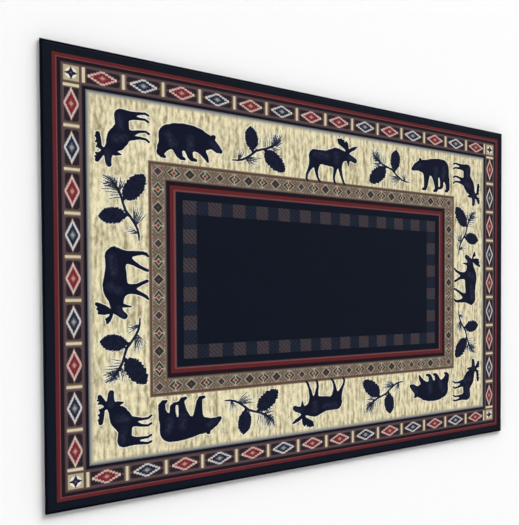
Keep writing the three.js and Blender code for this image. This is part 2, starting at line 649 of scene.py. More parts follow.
class Amount:
    """A number that changes over a surface, with the sums that nodes can do on it."""

    def __init__(self, sheet: "NodeSheet", socket: bpy.types.NodeSocket) -> None:
        """Keeps the output that gives the number."""
        self.sheet = sheet
        self.socket = socket

    def worked(self, operation: str, *others: "Amount | float", reverse: bool = False) -> "Amount":
        """Adds a Math node that works on this number and others.

        Args:
            operation: The node's operation.
            *others: The other numbers.
            reverse: Whether this number comes last.

        Returns:
            The result.
        """
        node = self.sheet.add("ShaderNodeMath", operation=operation)
        terms = (*others, self) if reverse else (self, *others)
        for slot, term in zip(node.inputs, terms):
            self.sheet.feed(slot, term)
        return Amount(self.sheet, node.outputs[0])

    def __add__(self, other: "Amount | float") -> "Amount":
        """Adds."""
        return self.worked("ADD", other)

    def __sub__(self, other: "Amount | float") -> "Amount":
        """Takes away."""
        return self.worked("SUBTRACT", other)

    def __rsub__(self, other: float) -> "Amount":
        """Is taken away."""
        return self.worked("SUBTRACT", other, reverse=True)

    def __mul__(self, other: "Amount | float") -> "Amount":
        """Multiplies."""
        return self.worked("MULTIPLY", other)

    def __truediv__(self, other: "Amount | float") -> "Amount":
        """Divides."""
        return self.worked("DIVIDE", other)

    def __lt__(self, other: "Amount | float") -> "Amount":
        """Is 1 where this is the smaller, or else 0."""
        return self.worked("LESS_THAN", other)

    def __gt__(self, other: "Amount | float") -> "Amount":
        """Is 1 where this is the greater, or else 0."""
        return self.worked("GREATER_THAN", other)

    def __and__(self, other: "Amount") -> "Amount":
        """Is 1 where both are."""
        return self.worked("MULTIPLY", other)

    def __or__(self, other: "Amount") -> "Amount":
        """Is 1 where either is."""
        return self.worked("MAXIMUM", other)

    def __invert__(self) -> "Amount":
        """Is 1 where this is 0."""
        return 1.0 - self

    def __abs__(self) -> "Amount":
        """Drops the sign."""
        return self.worked("ABSOLUTE")

    def least(self, other: "Amount | float") -> "Amount":
        """The smaller of two."""
        return self.worked("MINIMUM", other)

    def most(self, other: "Amount | float") -> "Amount":
        """The greater of two."""
        return self.worked("MAXIMUM", other)

    def floor(self) -> "Amount":
        """The whole number below."""
        return self.worked("FLOOR")

    def nearest(self) -> "Amount":
        """The nearest whole number."""
        return self.worked("ROUND")

    def wrapped(self, length: float) -> "Amount":
        """What is left over whole lengths, never below 0."""
        return self.worked("FLOORED_MODULO", length)

    def between(self, low: float, high: float) -> "Amount":
        """Is 1 from low to high."""
        return (self > low) & (self < high)

    def equals(self, number: int) -> "Amount":
        """Is 1 where this rounds to a whole number."""
        return self.between(number - 0.5, number + 0.5)

    def stepped(self, step: float) -> "Amount":
        """The middle of the step that it lies in."""
        return ((self / step).floor() + 0.5) * step

    def chosen(self, if_one: "Amount | float", if_nought: "Amount | float") -> "Amount":
        """Gives one number where this is 1 and another where it is 0."""
        return self * if_one + (1.0 - self) * if_nought

    def spread(self, low: float, high: float, to_low: float, to_high: float) -> "Amount":
        """Stretches a range of values to another, held at its ends.

        Args:
            low: Where the first range starts.
            high: Where it ends.
            to_low: What its start becomes.
            to_high: What its end becomes.

        Returns:
            The result.
        """
        node = self.sheet.add("ShaderNodeMapRange")
        for slot, term in zip(node.inputs, (self, low, high, to_low, to_high)):
            self.sheet.feed(slot, term)
        return Amount(self.sheet, node.outputs[0])


class NodeSheet:
    """A node tree with short ways to add nodes and links."""

    def __init__(self, tree: bpy.types.NodeTree) -> None:
        """Keeps the tree that nodes are added to."""
        self.tree = tree

    def add(self, kind: str, **settings: object) -> bpy.types.Node:
        """Adds a node of a kind and sets its properties.

        Args:
            kind: The node's type.
            **settings: Its properties.

        Returns:
            The node.
        """
        node = self.tree.nodes.new(kind)
        for name, value in settings.items():
            setattr(node, name, value)
        return node

    def feed(self, slot: bpy.types.NodeSocket, value: object) -> None:
        """Gives an input its value.

        Args:
            slot: The input.
            value: A constant, an output or an amount.
        """
        if isinstance(value, Amount):
            value = value.socket
        if isinstance(value, bpy.types.NodeSocket):
            self.tree.links.new(value, slot)
        else:
            slot.default_value = value

    def fill(self, node: bpy.types.Node, values: dict[str, object]) -> None:
        """Gives a node's inputs their values, by name."""
        for label, value in values.items():
            self.feed(node.inputs[label], value)

    def group(self, tree: bpy.types.NodeTree) -> bpy.types.Node:
        """Adds a node that does what a group does."""
        return self.add("ShaderNodeGroup", node_tree=tree)

    def vector(self, operation: str, *inputs: object) -> bpy.types.Node:
        """Adds a Vector Math node.

        Args:
            operation: The node's operation.
            *inputs: What its first inputs are given.

        Returns:
            The node.
        """
        node = self.add("ShaderNodeVectorMath", operation=operation)
        for slot, value in zip(node.inputs, inputs):
            self.feed(slot, value)
        return node

    def place(self) -> bpy.types.NodeSocket:
        """The place on the piece, in metres."""
        return self.add("ShaderNodeTexCoord").outputs["Object"]

    def noise(self, place: bpy.types.NodeSocket, size: tuple[float, float, float],
              detail: float = 1.0, seed: float = 0.0) -> Amount:
        """Adds noise whose grains have a size along each axis, in metres.

        Args:
            place: The coordinates.
            size: The grains' sizes.
            detail: How many finer layers are added.
            seed: How far the noise is moved, so that two differ.

        Returns:
            The noise, from 0 to 1 and mostly near the middle.
        """
        scaled = self.vector("DIVIDE", place, size)
        moved = self.vector("ADD", scaled.outputs[0], (seed, seed, seed))
        node = self.add("ShaderNodeTexNoise")
        self.fill(node, {"Scale": 1.0, "Detail": detail, "Vector": moved.outputs[0]})
        return Amount(self, node.outputs[0])

    def chance(self, cell: bpy.types.NodeSocket) -> Amount:
        """Adds a random number for each place, the same all over a cell.

        Args:
            cell: The cell's place.

        Returns:
            The number, from 0 to 1.
        """
        node = self.add("ShaderNodeTexWhiteNoise", noise_dimensions="3D")
        self.fill(node, {"Vector": cell})
        return Amount(self, node.outputs["Value"])

    def mixed(self, share: Amount, first: object, second: object) -> bpy.types.NodeSocket:
        """Adds a colour Mix node, whose colour sockets stand behind those for other kinds.

        Args:
            share: How much of the second colour there is.
            first: The first colour.
            second: The second colour.

        Returns:
            The mixed colour.
        """
        node = self.add("ShaderNodeMix", data_type="RGBA")
        for number, value in ((0, share), (6, first), (7, second)):
            self.feed(node.inputs[number], value)
        return node.outputs[2]


class GroupSheet(NodeSheet):
    """A shader node group with named inputs and outputs."""

    def __init__(self, name: str, inputs: dict[str, str], outputs: dict[str, str]) -> None:
        """Starts the group.

        Args:
            name: The group's name.
            inputs: Each input's kind: Color, Float or Vector.
            outputs: Each output's kind.
        """
        super().__init__(bpy.data.node_groups.new(name, "ShaderNodeTree"))
        for sockets, way in ((inputs, "INPUT"), (outputs, "OUTPUT")):
            for label, kind in sockets.items():
                self.tree.interface.new_socket(label, in_out=way, socket_type=f"NodeSocket{kind}")
        self.given = self.add("NodeGroupInput").outputs
        self.made = self.add("NodeGroupOutput")


class Pattern(GroupSheet):
    """A node group that weaves one pattern over the colours that it is given."""

    def __init__(self, name: str, grid: bpy.types.NodeTree) -> None:
        """Starts the group and reads where each knot is.

        Args:
            name: The group's name.
            grid: The group that gives each knot's place.
        """
        super().__init__(name, {"Dye": "Color"}, {"Dye": "Color"})
        knots = self.group(grid).outputs
        self.x, self.y, self.from_end, self.from_side, self.rim, self.on_side, self.along = (
            Amount(self, knots[label]) for label in GRID_NUMBERS
        )
        self.knot = knots["Knot"]
        self.dye = self.given["Dye"]

    def weave(self, where: Amount, yarn: Yarn) -> None:
        """Lays a yarn over the colour wherever an amount is 1, or a share of it elsewhere."""
        self.dye = self.mixed(where, self.dye, linear(yarn.value))

    def weave_either(self, where: Amount, first: Amount, yarn: Yarn, other: Yarn) -> None:
        """Lays one yarn where a second amount is 1 too, and another yarn where that is 0."""
        self.weave(where & first, yarn)
        self.weave(where & ~first, other)

    def finished(self) -> bpy.types.NodeTree:
        """Puts out the colour and returns the group."""
        self.fill(self.made, {"Dye": self.dye})
        return self.tree


def lozenge(u: Amount, v: Amount, half: tuple[float, float]) -> Amount:
    """How far out a place lies in a diamond of a half length and half width, 1 at its rim."""
    return u / half[0] + v / half[1]


@dataclass
class RugSizes:
    """The rug's sizes in metres, read from the CAD parts in model.glb."""

    pile_base: float = 0.0025
    strips: int = 4
    low: Vector = field(init=False)
    high: Vector = field(init=False)
    rug_length: float = field(init=False)
    rug_width: float = field(init=False)

    def __post_init__(self) -> None:
        """Reads the body's and the whole rug's boxes."""
        self.low, self.high = (Vector(corner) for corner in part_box("rug_body"))
        self.rug_length = CAD_BOX[1][0] - CAD_BOX[0][0]
        self.rug_width = CAD_BOX[1][1] - CAD_BOX[0][1]

    @property
    def body_length(self) -> float:
        """The woven body's length, inside the edging."""
        return self.high.x - self.low.x

    @property
    def body_width(self) -> float:
        """The woven body's width, inside the edging."""
        return self.high.y - self.low.y

    @property
    def pile_top(self) -> float:
        """The height of the tips of the pile."""
        return self.high.z


@dataclass
class RugDesign:
    """The woven design as node groups, one for each part of it, in millimetres.

    Places are measured inwards from the rug's rim. A pair of numbers is for the long and the
    short sides, or for the start and the end of a stretch, or for the half length and half
    width of a diamond.
    """

    sizes: RugSizes
    stripes: tuple[tuple[float, Yarn], ...] = (
        (37.2, Yarn.RED), (48.8, Yarn.ROSE), (53.2, Yarn.PLUM), (64.0, Yarn.MAUVE),
        (68.2, Yarn.UMBER), (131.5, Yarn.MAUVE), (135.0, Yarn.PLUM), (139.5, Yarn.SOOT),
        (145.0, Yarn.STEEL), (149.0, Yarn.LILAC), (152.4, Yarn.CREAM), (365.2, Yarn.TAN),
        (367.2, Yarn.BROWN), (377.0, Yarn.DRAB), (425.2, Yarn.FAWN), (429.9, Yarn.MAUVE),
        (433.6, Yarn.PLUM), (447.8, Yarn.RED), (462.8, Yarn.ROSE), (467.8, Yarn.MAUVE),
        (469.6, Yarn.DAMSON), (472.2, Yarn.MIDNIGHT),
    )
    # The outer band
    diamond_line: float = 99.2
    diamond_reach: float = 26.5
    diamond_half: tuple[float, float] = (52.5, 25.8)
    diamond_steps: tuple[float, float] = (6.0, 3.0)
    diamond_pitches: tuple[float, float] = (146.1, 149.2)
    diamond_rings: tuple[tuple[float, Yarn, Yarn], ...] = (
        (1.03, Yarn.PETAL, Yarn.MIST), (0.75, Yarn.BRICK, Yarn.SLATE),
        (0.68, Yarn.CRIMSON, Yarn.INDIGO),
    )
    diamond_tip: float = 43.0
    diamond_hearts: tuple[tuple[tuple[float, float], Yarn, Yarn], ...] = (
        ((19.0, 11.5), Yarn.BRICK, Yarn.STEEL), ((9.5, 6.5), Yarn.SHELL, Yarn.PUTTY),
    )
    patch_clearance: float = 1.14
    patch_rise: tuple[float, float] = (3.0, 24.0)
    patch_reach: float = 60.5
    patch_slant: float = 78.0
    bars: tuple[tuple[float, Yarn], ...] = ((9.6, Yarn.OLIVE), (7.0, Yarn.TAN), (4.2, Yarn.STRAW))
    diamond_start: float = 131.2
    end_bars: tuple[tuple[tuple[float, float], Yarn], ...] = (
        ((132.7, 147.9), Yarn.OLIVE), ((135.2, 144.4), Yarn.STRAW),
    )
    ground_start: float = 149.4
    corner_squares: tuple[tuple[float, Yarn], ...] = ((28.5, Yarn.OLIVE), (25.5, Yarn.FLAX))
    corner_cross: tuple[float, float] = (18.0, 27.0)
    corner_star: tuple[float, float] = (23.0, 10.0)
    corner_seed: float = 4.2
    # The band of small tiles
    tile_line: float = 401.8
    tile_reach: float = 24.5
    tile_ground: float = 19.0
    tile_counts: tuple[int, int] = (24, 12)
    cross_slope: float = 0.66
    cross_glow: float = 4.6
    cross_glow_share: float = 0.35
    cross_line: float = 2.5
    cross_dab: tuple[float, float] = (7.0, 6.0)
    bracket_half: tuple[float, float] = (24.5, 18.5)
    bracket_rim: float = 1.26
    bracket_arms: tuple[float, float] = (0.59, 1.12)
    bracket_split: float = 2.6
    bracket_middle: float = 0.54
    bracket_hearts: tuple[tuple[float, Yarn], ...] = ((10.8, Yarn.GREIGE), (8.3, Yarn.MADDER))
    dark_rings: tuple[tuple[tuple[float, float], Yarn], ...] = (
        ((24.5, 23.0), Yarn.GREIGE), ((20.5, 19.0), Yarn.CHARCOAL),
    )
    dark_seed: float = 5.0
    small_tips: tuple[float, float] = (23.0, 6.0)
    small_rings: tuple[tuple[float, Yarn], ...] = ((18.5, Yarn.GREIGE), (15.2, Yarn.MAUVE))
    # The ring of squares
    plaid_band: tuple[float, float] = (499.0, 552.0)
    plaid_counts: tuple[int, int] = (12, 5)
    plaid_half: float = 27.5
    twill_start: float = 4.0
    twill_pitch: float = 17.6
    twill_line: float = 8.8
    thread: tuple[float, float] = (10.2, 16.8)
    thread_share: float = 0.5
    counter_pitch: float = 19.2
    counter_thread: float = 7.0
    counter_share: float = 0.6
    # The cream field and its motifs: a grain of noise is in metres, and a range says
    # which of its values become which shares
    field_band: tuple[float, float] = (152.4, 365.2)
    field_shade: tuple[float, float] = (13.0, 0.95)
    streak_grain: tuple[float, float, float] = (0.014, 0.200, 1.0)
    mottle_grain: tuple[float, float, float] = (0.012, 0.034, 1.0)
    tuft_share: float = 0.06
    dull_streaks: tuple[float, float, float, float] = (0.50, 0.36, 0.0, 1.0)
    pale_streaks: tuple[float, float, float, float] = (0.50, 0.60, 0.0, 0.9)
    flecks: tuple[tuple[float, Yarn], ...] = ((11.3, Yarn.BLUSH), (27.7, Yarn.SAGE))
    fleck_grain: tuple[float, float, float] = (0.006, 0.014, 1.0)
    fleck_range: tuple[float, float, float, float] = (0.60, 0.72, 0.0, 0.5)
    halo: float = 2.8
    needle_halo: float = 2.4
    needle_halo_share: float = 0.6
    fur_grain: tuple[float, float, float] = (0.014, 0.014, 1.0)
    fur_range: tuple[float, float, float, float] = (0.4, 0.6, 0.25, 0.85)

    def __post_init__(self) -> None:
        """Builds the grid of knots, which every pattern reads."""
        self.grid = self.knot_grid()

    def knot_grid(self) -> bpy.types.NodeTree:
        """Where each knot is: the same values all over a knot.

        Returns:
            The group, whose numbers are in millimetres and whose knot is in metres.
        """
        outputs = {**dict.fromkeys(GRID_NUMBERS, "Float"), "Knot": "Vector"}
        sheet = GroupSheet("knot_grid", {}, outputs)
        parts = sheet.add("ShaderNodeSeparateXYZ")
        sheet.feed(parts.inputs[0], sheet.place())
        x, y = ((Amount(sheet, parts.outputs[axis]) / MM).stepped(KNOT) for axis in (0, 1))
        from_end = self.sizes.rug_length / 2 / MM - abs(x)
        from_side = self.sizes.rug_width / 2 / MM - abs(y)
        rim = from_end.least(from_side)
        on_side = from_side < from_end
        values = (x, y, from_end, from_side, rim, on_side, on_side.chosen(x, y))
        sheet.fill(sheet.made, dict(zip(GRID_NUMBERS, values)))
        knot = sheet.add("ShaderNodeCombineXYZ")
        sheet.fill(knot, {"X": x * MM, "Y": y * MM})
        sheet.fill(sheet.made, {"Knot": knot.outputs[0]})
        return sheet.tree

    def bands(self) -> bpy.types.NodeTree:
        """The plain stripes, each woven from its start inwards.

        Returns:
            The pattern's group.
        """
        pattern = Pattern("bands", self.grid)
        for start, yarn in self.stripes:
            pattern.weave(pattern.rim > start, yarn)
        return pattern.finished()

    def diamonds(self) -> bpy.types.NodeTree:
        """The outer band: stepped diamonds between upright bars.

        Returns:
            The pattern's group.
        """
        pattern = Pattern("diamonds", self.grid)
        v = abs(pattern.rim - self.diamond_line)
        corner = pattern.on_side.chosen(pattern.from_end, pattern.from_side)
        zone = (v < self.diamond_reach) & (corner > self.diamond_start)
        ground = zone & (corner > self.ground_start)
        pitch = pattern.on_side.chosen(*self.diamond_pitches)
        # The long sides have a bar at their middle, and the short sides a diamond
        shift = pattern.on_side * 0.5
        index = (pattern.along / pitch - shift).nearest()
        u = abs(pattern.along - (index + shift) * pitch)
        number = pattern.on_side.chosen(abs(index + 0.5) - 0.5, abs(index))
        red = number.wrapped(2.0).equals(0)
        step = pattern.on_side.chosen(*self.diamond_steps) * KNOT
        size = lozenge(u.stepped(step), v, self.diamond_half)
        patch = ground & (size > self.patch_clearance) & v.between(*self.patch_rise)
        patch = patch & (u < self.patch_reach) & (u + v < self.patch_slant)
        pattern.weave(patch, Yarn.DAMSON)
        for reach, red_yarn, blue_yarn in self.diamond_rings:
            pattern.weave_either(zone & (size < reach), red, red_yarn, blue_yarn)
        tip = (size < self.diamond_rings[0][0]) & (u > self.diamond_tip)
        pattern.weave(zone & tip, Yarn.STRAW)
        for half, red_yarn, blue_yarn in self.diamond_hearts:
            heart = lozenge(u, v, half) < 1.0
            pattern.weave_either(zone & heart, red, red_yarn, blue_yarn)
        from_bar = pitch / 2 - u
        for reach, yarn in self.bars:
            pattern.weave(ground & (from_bar < reach), yarn)
        for stretch, yarn in self.end_bars:
            pattern.weave(zone & corner.between(*stretch), yarn)
        return pattern.finished()

    def corner_tiles(self) -> bpy.types.NodeTree:
        """The square tile with a four-pointed star at each corner of the outer band.

        Returns:
            The pattern's group.
        """
        pattern = Pattern("corner_tiles", self.grid)
        u, v = (abs(side - self.diamond_line) for side in (pattern.from_end, pattern.from_side))
        far, near = u.most(v), u.least(v)
        square, slant = self.corner_cross
        for half, yarn in self.corner_squares:
            pattern.weave(far < half, yarn)
        pattern.weave((far < square) & (u + v < slant), Yarn.PEARL)
        pattern.weave(lozenge(far, near, self.corner_star) < 1.0, Yarn.INDIGO)
        pattern.weave(u + v < self.corner_seed, Yarn.BRICK)
        return pattern.finished()

    def spaced(self, pattern: Pattern, line: float, counts: tuple[int, int]) -> tuple[Amount, ...]:
        """Spaces tiles evenly round a ring, with one at each corner.

        Args:
            pattern: The group that they are woven in.
            line: Where the ring's middle line is.
            counts: How many spaces there are along each side.

        Returns:
            The distance along the side from the nearest tile's middle, the tile's number, the
            side's count and the pitch.
        """
        rug = (self.sizes.rug_length / MM, self.sizes.rug_width / MM)
        side = pattern.on_side.chosen(*(size - 2 * line for size in rug))
        count = pattern.on_side.chosen(*(float(number) for number in counts))
        pitch = side / count
        start = pattern.along + side / 2
        index = (start / pitch).nearest()
        return abs(start - index * pitch), index, count, pitch

    def small_tiles(self) -> bpy.types.NodeTree:
        """The inner band: bracketed, dark and small diamonds in turn.

        Returns:
            The pattern's group.
        """
        pattern = Pattern("small_tiles", self.grid)
        v = abs(pattern.rim - self.tile_line)
        zone = v < self.tile_reach
        u, index, count, pitch = self.spaced(pattern, self.tile_line, self.tile_counts)
        between = pitch / 2 - u
        pattern.weave(v < self.tile_ground, Yarn.BISCUIT)
        # Crossed lines fill the spaces between the tiles
        cross = abs(between - v * self.cross_slope)
        dab = lozenge(between, abs(v - self.tile_ground), self.cross_dab)
        pattern.weave(zone & ((cross < self.cross_glow) * self.cross_glow_share), Yarn.GREIGE)
        pattern.weave(zone & (cross < self.cross_line), Yarn.BROWN)
        pattern.weave(zone & (dab < 1.0), Yarn.OLIVE)
        turn = index.least(count - index)
        bracket = index.wrapped(2.0).equals(1)
        # Small diamonds stand at the corners and between pairs of larger ones
        on_long = turn.equals(0) | turn.equals(4) | turn.equals(10)
        on_short = index.wrapped(4.0).equals(0)
        small = ~bracket & ((pattern.on_side & on_long) | (~pattern.on_side & on_short))
        dark = ~bracket & ~small
        self.weave_brackets(pattern, zone & bracket, u, v)
        for half, yarn in self.dark_rings:
            pattern.weave(zone & dark & (lozenge(u, v, half) < 1.0), yarn)
        pattern.weave(zone & dark & (u + v < self.dark_seed), Yarn.UMBER)
        pattern.weave(zone & small & (lozenge(u, v, self.small_tips) < 1.0), Yarn.GREIGE)
        for reach, yarn in self.small_rings:
            pattern.weave(zone & small & (u + v < reach), yarn)
        return pattern.finished()

    def weave_brackets(self, pattern: Pattern, zone: Amount, u: Amount, v: Amount) -> None:
        """Weaves the tiles that have a bracket on each side of a small heart.

        Args:
            pattern: The group that they are woven in.
            zone: Where such tiles are.
            u: The distance along the side from the tile's middle.
            v: The distance across it.
        """
        ring = lozenge(u, v, self.bracket_half)
        pattern.weave(zone & (ring < self.bracket_rim), Yarn.GREIGE)
        arms = ring.between(*self.bracket_arms) & (u > self.bracket_split)
        pattern.weave(zone & arms, Yarn.FOREST)
        pattern.weave(zone & (ring < self.bracket_middle), Yarn.DRAB)
        for reach, yarn in self.bracket_hearts:
            pattern.weave(zone & (u + v < reach), yarn)

    def plaid(self) -> bpy.types.NodeTree:
        """The ring of hatched squares round the middle.

        Returns:
            The pattern's group.
        """
        pattern = Pattern("plaid", self.grid)
        low, high = self.plaid_band
        zone = pattern.rim.between(low, high)
        u = self.spaced(pattern, (low + high) / 2, self.plaid_counts)[0]
        square = zone & (u < self.plaid_half)
        twill = (pattern.x + pattern.y - self.twill_start).wrapped(self.twill_pitch)
        counter = (pattern.x - pattern.y - self.twill_start).wrapped(self.counter_pitch)
        pattern.weave(zone, Yarn.DENIM)
        pattern.weave((zone & twill.between(*self.thread)) * self.thread_share, Yarn.SLATE)
        pattern.weave((zone & (counter < self.counter_thread)) * self.counter_share, Yarn.SLATE)
        pattern.weave(square, Yarn.SHADE)
        pattern.weave(square & (twill < self.twill_line), Yarn.HATCH)
        return pattern.finished()

    def cream_field(self) -> bpy.types.NodeTree:
        """The streaks of paler and duller cream down the field, with faint coloured flecks.

        Returns:
            The pattern's group.
        """
        pattern = Pattern("cream_field", self.grid)
        zone = pattern.rim.between(*self.field_band)
        column = pattern.noise(pattern.knot, self.streak_grain)
        mottle = pattern.noise(pattern.knot, self.mottle_grain, seed=3.1)
        single = pattern.chance(pattern.knot)
        streak = column * 0.5 + mottle * 0.5 + (single - 0.5) * self.tuft_share
        pattern.weave(zone & streak.spread(*self.dull_streaks), Yarn.KHAKI)
        pattern.weave(zone & streak.spread(*self.pale_streaks), Yarn.IVORY)
        for seed, yarn in self.flecks:
            fleck = pattern.noise(pattern.knot, self.fleck_grain, seed=seed)
            pattern.weave(zone & fleck.spread(*self.fleck_range), yarn)
        edge = self.field_band[0]
        width, share = self.field_shade
        pattern.weave(zone & pattern.rim.spread(edge, edge + width, share, 0.0), Yarn.SAND)
        return pattern.finished()

    def silhouettes(self) -> bpy.types.NodeTree:
        """The animals and sprigs, from the distances that are kept on the pile.

        Returns:
            The pattern's group.
        """
        pattern = Pattern("silhouettes", self.grid)
        jog = pattern.chance(pattern.knot) - 0.5
        ink, needles, light = (
            Amount(pattern, pattern.add("ShaderNodeAttribute", attribute_name=name).outputs["Fac"])
            for name in KEPT_NAMES
        )
        zone = pattern.rim.between(*self.field_band)
        spray_halo = (needles + jog < self.needle_halo) * self.needle_halo_share
        pattern.weave(zone & ((ink + jog < self.halo) | spray_halo), Yarn.PEARL)
        pattern.weave(needles + jog < 0.0, Yarn.PINE)
        dark = ink + jog < 0.0
        pattern.weave(dark, Yarn.INK)
        fur = pattern.noise(pattern.knot, self.fur_grain, seed=8.9).spread(*self.fur_range)
        pattern.weave(dark & (light * fur), Yarn.DUSK)
        return pattern.finished()

    def groups(self) -> list[bpy.types.NodeTree]:
        """Every part of the design, in the order that they are woven.

        Returns:
            The patterns' groups.
        """
        parts = (
            self.bands, self.cream_field, self.diamonds, self.corner_tiles, self.small_tiles,
            self.plaid, self.silhouettes,
        )
        return [part() for part in parts]


@dataclass
class YarnShaders:
    """The materials, and the node groups that they share, with the sizes of yarn in metres."""

    sizes: RugSizes
    grain: tuple[float, float, float] = (0.0008, 0.0008, 0.003)
    grain_range: tuple[float, float, float, float] = (0.3, 0.7, -0.5, 0.5)
    tuft_range: tuple[float, float, float, float] = (0.15, 0.65, 1.0, 0.0)
    fibre_size: tuple[float, float, float] = (0.0007, 0.0007, 0.003)
    fibre_share: float = 0.6
    finer_layers: float = 2.0

    def __post_init__(self) -> None:
        """Builds the design's groups and the shared yarn groups."""
        self.design = RugDesign(self.sizes)
        self.fibre_group = self.build_fibre_group()
        self.relief_group = self.build_relief_group()

    def build_fibre_group(self) -> bpy.types.NodeTree:
        """Dyed yarn: each tuft a little apart from the next, and mottled by its fibres.

        Returns:
            The group.
        """
        inputs = {"Dye": "Color", "Mottle": "Float", "Fibre": "Float"}
        sheet = GroupSheet("yarn_fibre", inputs, {"Color": "Color"})
        knot = sheet.group(self.design.grid).outputs["Knot"]
        tuft = (sheet.chance(knot) - 0.5) * Amount(sheet, sheet.given["Mottle"])
        fibres = sheet.noise(sheet.place(), self.grain, self.finer_layers)
        grain = fibres.spread(*self.grain_range)
        tone = tuft + grain * Amount(sheet, sheet.given["Fibre"]) + 1.0
        dyed = sheet.vector("SCALE", sheet.given["Dye"])
        sheet.fill(dyed, {"Scale": tone})
        sheet.fill(sheet.made, {"Color": dyed.outputs[0]})
        return sheet.tree

    def build_relief_group(self) -> bpy.types.NodeTree:
        """The height of cut pile: a low dome on each tuft, broken up by its fibres.

        Returns:
            The group.
        """
        sheet = GroupSheet("pile_relief", {}, {"Height": "Float"})
        knot = sheet.group(self.design.grid).outputs["Knot"]
        flat = sheet.vector("MULTIPLY", sheet.place(), (1.0, 1.0, 0.0))
        away = Amount(sheet, sheet.vector("DISTANCE", flat.outputs[0], knot).outputs["Value"])
        dome = (away / (KNOT * MM)).spread(*self.tuft_range)
        fibres = sheet.noise(sheet.place(), self.fibre_size, self.finer_layers)
        sheet.fill(sheet.made, {"Height": dome + fibres * self.fibre_share})
        return sheet.tree

    def material(self, name: str, finish: YarnFinish, ground: Yarn,
                 patterns: Iterable[bpy.types.NodeTree] = ()) -> bpy.types.Material:
        """Makes a material of yarn.

        Args:
            name: The material's name.
            finish: How the yarn takes light.
            ground: The yarn under the patterns.
            patterns: The groups that weave over it, in turn.

        Returns:
            The material.
        """
        material = bpy.data.materials.new(name)
        material.use_nodes = True
        material.node_tree.nodes.clear()
        sheet = NodeSheet(material.node_tree)
        dye = linear(ground.value)
        for tree in patterns:
            woven = sheet.group(tree)
            sheet.fill(woven, {"Dye": dye})
            dye = woven.outputs["Dye"]
        fibre = sheet.group(self.fibre_group)
        sheet.fill(fibre, {"Dye": dye, "Mottle": finish.mottle, "Fibre": finish.fibre})
        height = sheet.group(self.relief_group).outputs["Height"]
        bump = sheet.add("ShaderNodeBump")
        sheet.fill(bump, {"Strength": finish.bump, "Distance": finish.relief, "Height": height})
        surface = sheet.add("ShaderNodeBsdfPrincipled")
        sheet.fill(surface, {
            "Base Color": fibre.outputs["Color"],
            "Roughness": finish.roughness,
            "Specular IOR Level": finish.specular,
            "Normal": bump.outputs["Normal"],
        })
        sheet.fill(sheet.add("ShaderNodeOutputMaterial"), {"Surface": surface.outputs[0]})
        return material

    def pile(self) -> bpy.types.Material:
        """The pile's material, with the whole design."""
        return self.material("pile", PILE_FINISH, Yarn.NAVY, self.design.groups())


def select_only(piece: bpy.types.Object) -> None:
    """Selects one object and makes it active, in object mode.

    Args:
        piece: The object.
    """
    if bpy.context.object and bpy.context.object.mode != "OBJECT":
        bpy.ops.object.mode_set(mode="OBJECT")
    bpy.ops.object.select_all(action="DESELECT")
    piece.select_set(True)
    bpy.context.view_layer.objects.active = piece


def settle(piece: bpy.types.Object) -> None:
    """Writes an object's place, turn and scale into its mesh."""
    select_only(piece)
    bpy.ops.object.transform_apply(location=True, rotation=True, scale=True)


def end_editing() -> None:
    """Turns the faces of the mesh that is being edited outwards, and leaves edit mode."""
    bpy.ops.mesh.select_all(action="SELECT")
    bpy.ops.mesh.normals_make_consistent(inside=False)
    bpy.ops.object.mode_set(mode="OBJECT")


def read_points(mesh: bpy.types.Mesh) -> Field:
    """Reads a mesh's points.

    Args:
        mesh: The mesh.

    Returns:
        Its points, as rows of x, y and z.
    """
    flat = np.empty(len(mesh.vertices) * 3, np.float32)
    mesh.vertices.foreach_get("co", flat)
    return flat.reshape(-1, 3)


def write_points(mesh: bpy.types.Mesh, points: Field) -> None:
    """Moves the mesh's points."""
    mesh.vertices.foreach_set("co", points.astype(np.float32).ravel())
    mesh.update()


def wave(main: Field, other: Field, shape: tuple[float, float, float]) -> Field:
    """A wave along one way, whose crests sway along the other.

    Args:
        main: Places along the wave.
        other: Places along its crests.
        shape: How fast the wave turns, how far its crests sway and how fast they do.

    Returns:
        The wave at each place, from -1 to 1.
    """
    turns, sway, bends = shape
    return np.sin(main * turns + sway * np.sin(other * bends))


